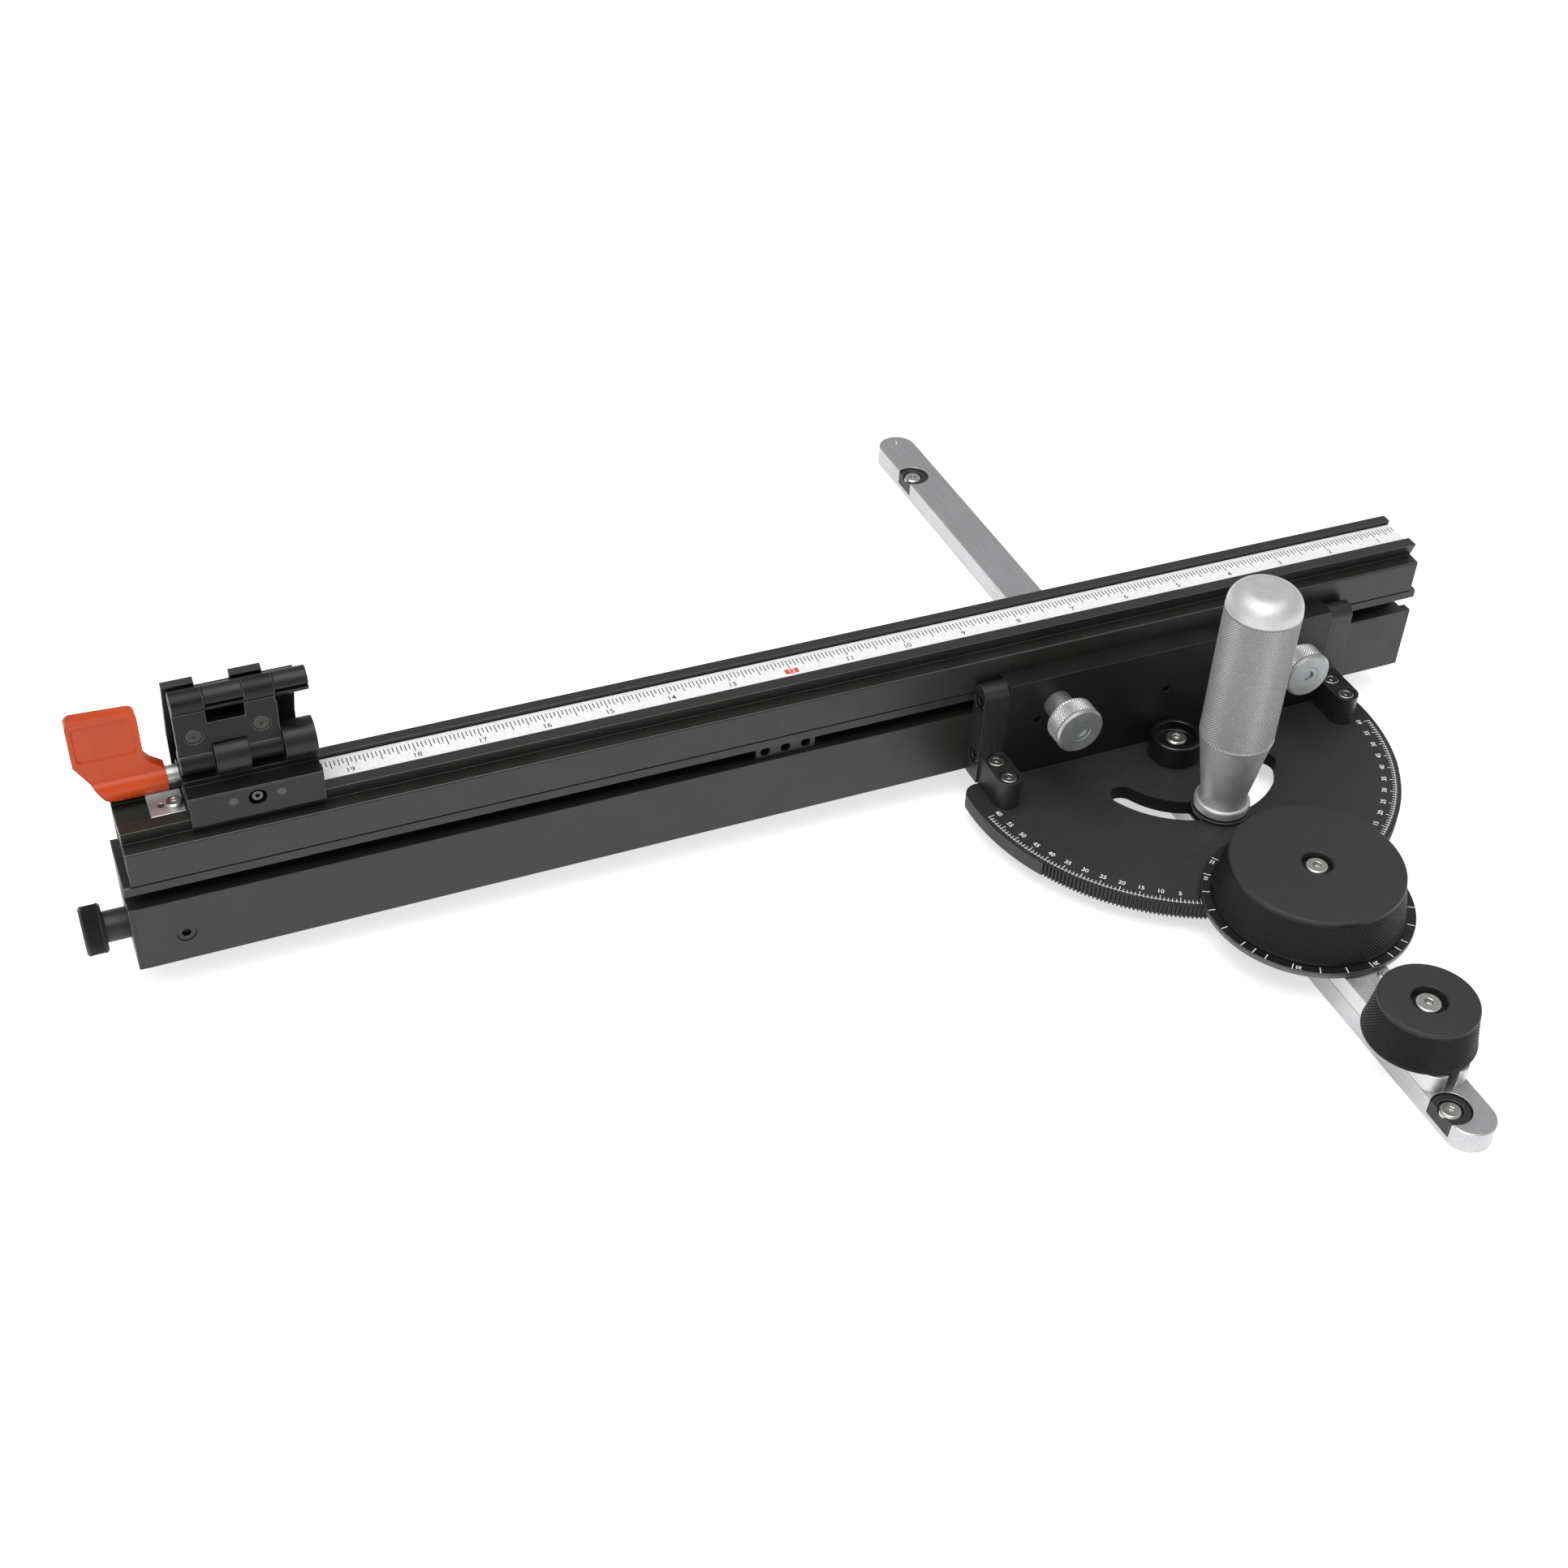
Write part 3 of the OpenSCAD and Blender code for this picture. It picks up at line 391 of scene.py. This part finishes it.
def finish_cad_nodes():
    # Each call's second material goes on the broken edges as painted highlight, with some wear.
    finished("fence_extrusion", fence_black, edge_wear_and_highlight_black, 0.3,
             others=("fence_extrusion_web", "fence_extrusion_lip"))
    finished("fence_rail", fence_black, edge_wear_and_highlight_black, 0.3)
    for node in ("fence_cap_left", "fence_cap_right"):
        finished(node, cap_black, edge_wear_and_highlight_black, 0.2)
    darken_slot(finished("protractor_plate", plate_black, edge_wear_and_highlight_black, 0.12, 1))
    finished("face_plate", face_black, edge_wear_and_highlight_black, 0.35)
    for node in ("bracket_left", "bracket_right"):
        finished(node, bracket_black, edge_wear_and_highlight_black, 0.45, 3)
    finished("pivot_boss", gloss_black, gloss_black, 0.5, 3)
    finished("handle_washer", cap_black, edge_wear_and_highlight_black, 0.2)
    finished("stop_carriage", stop_black, edge_wear_and_highlight_black, 0.22)
    finished("stop_finger", stop_black, edge_wear_and_highlight_black, 0.22)
    finished("stop_arm", arm_black, edge_wear_and_highlight_black, 0.22)
    finished("accessory_tee_nut", cap_black, edge_wear_and_highlight_black, 0.2)
    finished("extension_rod", cap_black, edge_wear_and_highlight_black, 0.4)
    finished("mitre_bar", bar_silver, edge_wear_and_highlight_silver, 0.15)
    finished("pinion_block", block_silver, edge_wear_and_highlight_silver, 0.3, others=("block_prongs",))
    finished("rail_end_plate", block_silver, edge_wear_and_highlight_silver, 0.15)
    finished("stop_lever", lever_red, lever_red, 0.7, 4)
    finished("index_plate", block_silver, edge_wear_and_highlight_silver, 0.03, 1)
    finished("snug_discs", disc_black, edge_wear_and_highlight_black, 0.3)
    finished("clamp_jaw", jaw_brass, jaw_brass, 0.3)
    for node in ("snug_screws", "pivot_screw", "drive_knob_screw", "lock_knob_screw",
                 "index_screw", "rail_end_screw"):
        finished(node, screw_silver, edge_wear_and_highlight_silver, 0.12)
    finished("bracket_foot_screws", screw_grey, edge_wear_and_highlight_silver, 0.1)
    for node in ("bracket_side_screws", "arm_screws"):
        finished(node, screw_black, edge_wear_and_highlight_black, 0.12)
    finished("rod_lock_screw", screw_black, dark_pin, 0.3)
    finished("stop_set_screw", dark_pin, screw_silver, 0.15)
    finished("stop_dowels", dark_pin, edge_wear_and_highlight_black, 0.2)
    for node in ("lever_shaft", "lower_hinge_pin", "upper_hinge_pin", "handle_stud",
                 "drive_spindle"):
        finished(node, screw_silver, edge_wear_and_highlight_silver, 0.15)
    for node in ("pinion", "fence_tee_nuts"):
        finished(node, screw_silver, edge_wear_and_highlight_silver, 0.08, 1)


def darken_slot(plate):
    """The walls of the curved slot get a near-black material: painted shade for the shadow that
    falls inside the slot.
    """
    plate.data.materials.append(slot_shade_black)
    for polygon in plate.data.polygons:
        reach = math.hypot(polygon.center.x, polygon.center.y)
        if reach < SLOT_REACH and abs(polygon.normal.z) < 0.5:
            polygon.material_index = 2


def tint_dial():
    """Black face, with the machined rim left bare."""
    piece = finished("dial_ring", dial_black, dial_edge, 0.1, 1)
    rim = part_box("dial_ring")[1]
    rim_inside, rim_top = rim.x - 0.6 * MM, rim.z - 0.2 * MM
    for polygon in piece.data.polygons:
        out = polygon.center - DRIVE_AXIS
        reach = math.hypot(out.x, out.y)
        if reach > rim_inside and polygon.center.z < rim_top:
            polygon.material_index = 1
        elif reach < rim_inside:
            polygon.material_index = 0


# ---------------------------------------------------------------- turned and knurled pieces

FACE, GRIP = 0, 1
TURNED_ANGLE = 28
KNOB_PITCH, FINE_PITCH = 1.5, 1.3
TURNS = {"Z": Matrix.Identity(4), "-Y": Matrix.Rotation(math.pi / 2, 4, "X"),
         "X": Matrix.Rotation(math.pi / 2, 4, "Y")}


def axis_of(node):
    """Where a round node's upright axis meets the origin's level, on X = 0."""
    low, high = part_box(node)
    return Vector((0, (low.y + high.y) / 2, 0))


DRIVE_AXIS = axis_of("dial_ring")
LOCK_AXIS = axis_of("lock_knob")
HANDLE_AXIS = axis_of("clamp_handle")


def turned(name, rings, columns, materials, place, axis="Z"):
    """A turned piece. A ring is (radius, height, knurl depth, material); where two neighbouring
    rings have a depth, every second point is sunk, which makes the pyramids of a diamond knurl."""
    verts = []
    for j, (radius, height, depth, _) in enumerate(rings):
        for i in range(columns):
            reach = radius - (depth if (i + j) % 2 == 0 else 0)
            angle = 2 * math.pi * i / columns
            verts.append((reach * math.cos(angle), reach * math.sin(angle), height))
    faces, slots = [], []
    for j in range(len(rings) - 1):
        knurled = rings[j][2] > 0 and rings[j + 1][2] > 0
        for i in range(columns):
            a, b = j * columns + i, j * columns + (i + 1) % columns
            c, d = b + columns, a + columns
            if not knurled:
                faces.append((a, b, c, d))
            elif (i + j) % 2 == 0:
                faces += [(a, b, c), (a, c, d)]
            else:
                faces += [(a, b, d), (b, c, d)]
            slots += [rings[j][3]] * (len(faces) - len(slots))
    for end, ring in ((0, rings[0]), (len(rings) - 1, rings[-1])):
        loop = [end * columns + i for i in range(columns)]
        faces.append(tuple(reversed(loop)) if end == 0 else tuple(loop))
        slots.append(ring[3])
    mesh = bpy.data.meshes.new(name)
    mesh.from_pydata([Vector(v) * MM for v in verts], [], faces)
    mesh.transform(Matrix.Translation(place) @ TURNS[axis])
    for material in materials:
        mesh.materials.append(material)
    mesh.polygons.foreach_set("material_index", slots)
    smooth_by_angle(mesh, TURNED_ANGLE)
    mesh.validate()
    return link(bpy.data.objects.new(name, mesh))


def plain(*places):
    """Smooth rings, each from its radius and height."""
    return [(radius, height, 0, FACE) for radius, height in places]


def knurl_rings(low, high, low_r, high_r, pitch, depth):
    """Rings half a diamond apart, from one radius to another."""
    count = max(2, round(abs(high - low) / (pitch / 2)))
    rings = []
    for k in range(count + 1):
        t = k / count
        fade = min(1, min(k, count - k))
        rings.append((low_r + (high_r - low_r) * t, low + (high - low) * t, depth * fade, GRIP))
    return rings


def arc_rings(centre_r, centre_z, radius, start, end, steps):
    """Rings round an arc, from one angle to another in degrees above level."""
    angles = [math.radians(start + (end - start) * k / steps) for k in range(steps + 1)]
    return plain(*[(centre_r + radius * math.cos(a), centre_z + radius * math.sin(a))
                   for a in angles])


def diamonds(radius, pitch):
    """Grid columns for a whole number of diamonds round a radius, in millimetres."""
    return 2 * round(2 * math.pi * radius / pitch)


def knob(node, body, axis, foot_r, top_r, low, top, bore_r, bore_z, depth):
    """A coned knob: knurled side, eased top edge, flat top and a counterbore for its screw."""
    ease, foot_w, chamfer, rim = 0.9, 6, 0.5, 0.2
    rings = plain((foot_r - foot_w, low), (foot_r - chamfer, low), (foot_r, low + chamfer))
    rings += knurl_rings(low + 0.55, top - ease - 0.4, foot_r, top_r + 0.25, KNOB_PITCH, depth)
    rings += plain((top_r + rim, top - ease - 0.3))
    rings += arc_rings(top_r + rim - ease, top - ease, ease, 0, 90, 4)
    rings += plain((bore_r + 0.4, top), (bore_r, top - 0.4), (bore_r, bore_z),
                   (bore_r * 0.55, bore_z))
    piece = turned(node + "_turned", rings, diamonds(foot_r, KNOB_PITCH), [knob_black, knurl_black],
                   axis)
    keep(piece, body, node)


def make_knobs():
    knob("drive_knob", "drive", DRIVE_AXIS, foot_r=38.3, top_r=34.4, low=10.8, top=30.1,
         bore_r=6.25, bore_z=25.6, depth=0.32)
    knob("lock_knob", "block_lock", LOCK_AXIS, foot_r=21.6, top_r=18.7, low=8.25, top=26.0,
         bore_r=6.85, bore_z=20.9, depth=0.38)


def make_handle():
    """Foot, waist, knurled grip and satin crown of the clamping handle."""
    low, top = 8.05, 117.0
    bore_r, foot_r, foot_round = 4.2, 10.5, 1.1
    neck_r, neck_rise, neck_round = 10.2, 3.2, 1.4
    waist_r, waist_z, cone_steps, swell = 9.2, 14.4, 21, 0.02
    grip_r, grip_low, grip_high, knurl_depth = 15.2, 46.0, 107.6, 0.4
    crown_r, crown_round, crown_flat = grip_r - 0.15, 8, 3.0
    rings = plain((bore_r, low), (foot_r + 0.1, low))
    rings += arc_rings(foot_r, low + foot_round, foot_round, -90, 0, 5)
    rings += arc_rings(neck_r, low + neck_rise, neck_round, 0, 80, 6)
    for k in range(1, cone_steps + 1):
        t = k / cone_steps
        ease = t + swell * math.sin(2 * math.pi * t)
        rings += plain((waist_r + (grip_r - 0.1 - waist_r) * ease,
                        waist_z + (grip_low - waist_z) * t))
    rings += knurl_rings(grip_low + 0.3, grip_high, grip_r, grip_r, FINE_PITCH, knurl_depth)
    rings += plain((crown_r, grip_high + 0.3))
    rings += arc_rings(crown_r - crown_round, top - crown_round, crown_round, 6, 90, 12)
    rings += plain((crown_flat, top))
    piece = turned("clamp_handle_turned", rings, diamonds(grip_r, FINE_PITCH),
                   [turned_silver, knurl_silver], HANDLE_AXIS)
    keep(piece, "handle", "clamp_handle")


def make_thumb_screws():
    """Heights count from Y = 0: towards the user above zero, and into the fence below it."""
    shank_r, shank_tip = 3.0, -32.0
    collar_r, collar_low = 6.0, -11.25
    head_r, head_low, head_top = 10.5, -0.4, 9.3
    knurl_low, knurl_top, knurl_depth = 0.15, 8.3, 0.3
    step_r, step_z = 4.6, 9.15
    dimple_r, dimple_z, dimple_inner_r = 2.1, 8.3, 0.6
    for side in ("left", "right"):
        low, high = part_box("thumb_screw_" + side)
        centre = Vector(((low.x + high.x) / 2, 0, (low.z + high.z) / 2))
        rings = plain((shank_r, shank_tip), (shank_r, collar_low), (collar_r, collar_low),
                      (collar_r, head_low), (head_r - 0.6, head_low), (head_r - 0.2, 0))
        rings += knurl_rings(knurl_low, knurl_top, head_r, head_r, FINE_PITCH, knurl_depth)
        rings += plain((head_r - 0.4, head_top - 0.6), (head_r - 0.9, head_top),
                       (step_r, head_top), (step_r - 0.2, step_z),
                       (dimple_r + 0.3, step_z), (dimple_r, step_z - 0.25),
                       (dimple_r, dimple_z), (dimple_inner_r, dimple_z))
        piece = turned("thumb_screw_%s_turned" % side, rings, diamonds(head_r, FINE_PITCH),
                       [thumb_silver, knurl_silver], centre, "-Y")
        keep(piece, "thumb_" + side, "thumb_screw_" + side)


def make_rod_knob():
    """Heights count from the knob's outer face towards the fence."""
    knob_r, length, rod_r, knurl_depth = 9.5, 8, 6.05, 0.4
    dish_r, dish_inner_r, dish_z = 7.9, 1.0, 0.3
    low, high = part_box("rod_knob")
    centre = Vector((low.x, (low.y + high.y) / 2, (low.z + high.z) / 2))
    rings = plain((dish_inner_r, dish_z), (dish_r - 0.3, dish_z), (dish_r, 0), (knob_r - 0.8, 0),
                  (knob_r - 0.2, 0.6))
    rings += knurl_rings(0.8, 7.2, knob_r, knob_r, KNOB_PITCH, knurl_depth)
    rings += plain((knob_r - 0.2, 7.4), (knob_r - 0.8, length), (rod_r, length))
    piece = turned("rod_knob_turned", rings, diamonds(knob_r, KNOB_PITCH),
                   [knob_black, knurl_black], centre, "X")
    keep(piece, "extension", "rod_knob")


# ---------------------------------------------------------------- scales

INK = 0.03
BOLD = 0.02
FONT_SIZE = 1.4
INCH = 25.4


class Sheet:
    """Collects thin printed shapes on a flat face into one mesh. Sizes are in millimetres."""

    def __init__(self, level):
        self.level = level
        self.verts, self.faces = [], []

    def loop(self, points):
        start = len(self.verts)
        count = len(points)
        for height in (self.level, self.level + INK):
            self.verts += [(x, y, height) for x, y in points]
        self.faces.append(tuple(start + count + i for i in range(count)))
        self.faces.append(tuple(start + i for i in reversed(range(count))))
        for i in range(count):
            n = (i + 1) % count
            self.faces.append((start + i, start + n, start + count + n, start + count + i))

    def stroke(self, x0, y0, x1, y1, width):
        along = Vector((x1 - x0, y1 - y0)).normalized()
        nx, ny = -along.y * width / 2, along.x * width / 2
        self.loop([(x0 - nx, y0 - ny), (x1 - nx, y1 - ny), (x1 + nx, y1 + ny), (x0 + nx, y0 + ny)])

    def text(self, words, x, y, size, turn):
        """A number centred on (x, y), with its top turned by an angle from +Y."""
        curve = bpy.data.curves.new("number", "FONT")
        curve.body = words
        curve.size = size * FONT_SIZE
        curve.align_x = "CENTER"
        curve.align_y = "CENTER"
        curve.resolution_u = 4
        curve.extrude = INK / 2
        curve.offset = BOLD
        holder = link(bpy.data.objects.new("number", curve))
        graph = bpy.context.evaluated_depsgraph_get()
        mesh = bpy.data.meshes.new_from_object(holder.evaluated_get(graph))
        start = len(self.verts)
        c, s = math.cos(turn), math.sin(turn)
        for v in mesh.vertices:
            self.verts.append((x + v.co.x * c - v.co.y * s, y + v.co.x * s + v.co.y * c,
                               self.level + INK / 2 + v.co.z))
        self.faces += [tuple(start + i for i in p.vertices) for p in mesh.polygons]
        bpy.data.objects.remove(holder)
        bpy.data.curves.remove(curve)
        bpy.data.meshes.remove(mesh)

    def build(self, name, material, body, slot):
        mesh = bpy.data.meshes.new(name)
        mesh.from_pydata([Vector(v) * MM for v in self.verts], [], self.faces)
        mesh.materials.append(material)
        piece = link(bpy.data.objects.new(name, mesh))
        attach(piece, body)


def make_inch_scale():
    """Sixteenths of an inch. Inch n lies n inches left of a zero beyond the fence's end."""
    zero, margin = 139.63, 0.8
    tick_y, tick_w, lengths = 42.7, 0.38, {16: 4.9, 8: 5.4, 4: 4.6, 2: 3.8, 1: 3.0}
    lead_high, lead_low, lead_w = 32.5, 31.6, 0.3
    number_y, number_size = 35.4, 2.6
    tag_y, tag_half_w, tag_half_h, tag_size, tag_inch = 35.6, 2.8, 1.5, 2.3, 12
    low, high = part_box("scale_tape")
    level = high.z / MM
    ticks, numbers, tag, tag_number = Sheet(level), Sheet(level), Sheet(level), Sheet(level + INK)
    first = math.ceil((zero - (high.x / MM - margin)) / INCH * 16)
    last = math.floor((zero - (low.x / MM + margin)) / INCH * 16)
    for k in range(first, last + 1):
        x = zero - k * INCH / 16
        step = next(s for s in lengths if k % s == 0)
        ticks.stroke(x, tick_y, x, tick_y - lengths[step], tick_w)
        if step < 16:
            continue
        ticks.stroke(x, lead_high, x, lead_low, lead_w)
        if k // 16 == tag_inch:
            tag.loop([(x - tag_half_w, tag_y - tag_half_h), (x + tag_half_w, tag_y - tag_half_h),
                      (x + tag_half_w, tag_y + tag_half_h), (x - tag_half_w, tag_y + tag_half_h)])
            tag_number.text(str(tag_inch), x, tag_y, tag_size, 0)
        else:
            numbers.text(str(k // 16), x, number_y, number_size, 0)
    ticks.build("tape_ticks", ink_grey, "head", "white_tape")
    numbers.build("tape_numbers", ink_grey, "head", "white_tape")
    tag.build("tape_foot_tag", ink_red, "head", "white_tape")
    tag_number.build("tape_foot_number", ink_white, "head", "white_tape")


def make_degree_scale():
    """Two scales, each with its zero where the dial's edge crosses the plate."""
    zero, last = 23.85, 60
    outer_r, arc_r, short_r, long_r = 94.6, 94.0, 92.7, 91.6
    mark_w, arc_w = 0.27, 0.18
    text_r, text_size = 89.3, 2.1
    sheet = Sheet(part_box("protractor_plate")[1].z / MM)

    def at(radius, degrees):
        a = math.radians(degrees)
        return radius * math.sin(a), -radius * math.cos(a)

    for side in (-1, 1):
        for k in range(last + 1):
            angle = side * (zero + k)
            inner = long_r if k % 5 == 0 else short_r
            sheet.stroke(*at(outer_r, angle), *at(inner, angle), mark_w)
            if k < last:
                sheet.stroke(*at(arc_r, angle), *at(arc_r, angle + side), arc_w)
            if k % 5 == 0 and k > 0:
                sheet.text(str(k), *at(text_r, angle), text_size, math.radians(angle))
    sheet.build("degree_scale", ink_white, "head", "black_plate")


def make_dial_marks():
    """Even marks all round, two more part-way between, and the numbers that can be read."""
    first, step, count, extra = 124.0, 14.9, 24, [205.9, 295.0]
    inner_r, outer_r, mark_w = 38.7, 41.6, 0.34
    labels = {124.0: "22", 139.2: "10", 228.2: "30", 272.8: "30"}
    text_r, text_lead, text_size = 40.2, 3.4, 1.7
    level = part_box("dial_ring")[1].z / MM
    centre_y = DRIVE_AXIS.y / MM
    marks, numbers = Sheet(level), Sheet(level)
    for degrees in [first + step * k for k in range(count)] + extra:
        a = math.radians(degrees)
        c, s = math.cos(a), math.sin(a)
        marks.stroke(inner_r * c, centre_y + inner_r * s, outer_r * c, centre_y + outer_r * s,
                     mark_w)
    for degrees, words in labels.items():
        a = math.radians(degrees + text_lead)
        numbers.text(words, text_r * math.cos(a), centre_y + text_r * math.sin(a), text_size,
                     a - math.pi / 2)
    marks.build("dial_marks", ink_white, "drive", "black_knob")
    numbers.build("dial_numbers", ink_white, "drive", "black_knob")


def make_block_marks():
    """Four short slanted marks on the slide block's top."""
    count, first_x, pitch, slant = 4, 0.6, 1.7, 0.5
    back_y, front_y, mark_w = -152.4, -154.6, 0.2
    sheet = Sheet(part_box("pinion_block")[1].z / MM)
    for k in range(count):
        x = first_x + pitch * k
        sheet.stroke(x, back_y, x + slant, front_y, mark_w)
    sheet.build("block_marks", ink_grey, "drive_block", "silver_aluminium")


# ---------------------------------------------------------------- put together

make_camera()
make_world(WORLD_GLOW)
make_floor()
make_area("overhead", place=(-0.45, -0.35, 1.9), target=(-0.15, 0, 0), size=(1.8, 1.8), power=36)
make_area("front_left", place=(-1.5, -1.3, 1.2), target=(-0.2, 0, 0.03), size=(1, 1), power=6)

tape = frame["nodes"]["scale_tape"].data
tape.materials.clear()
tape.materials.append(tape_white)
finish_cad_nodes()
tint_dial()
make_knobs()
make_handle()
make_thumb_screws()
make_rod_knob()
make_inch_scale()
make_degree_scale()
make_dial_marks()
make_block_marks()
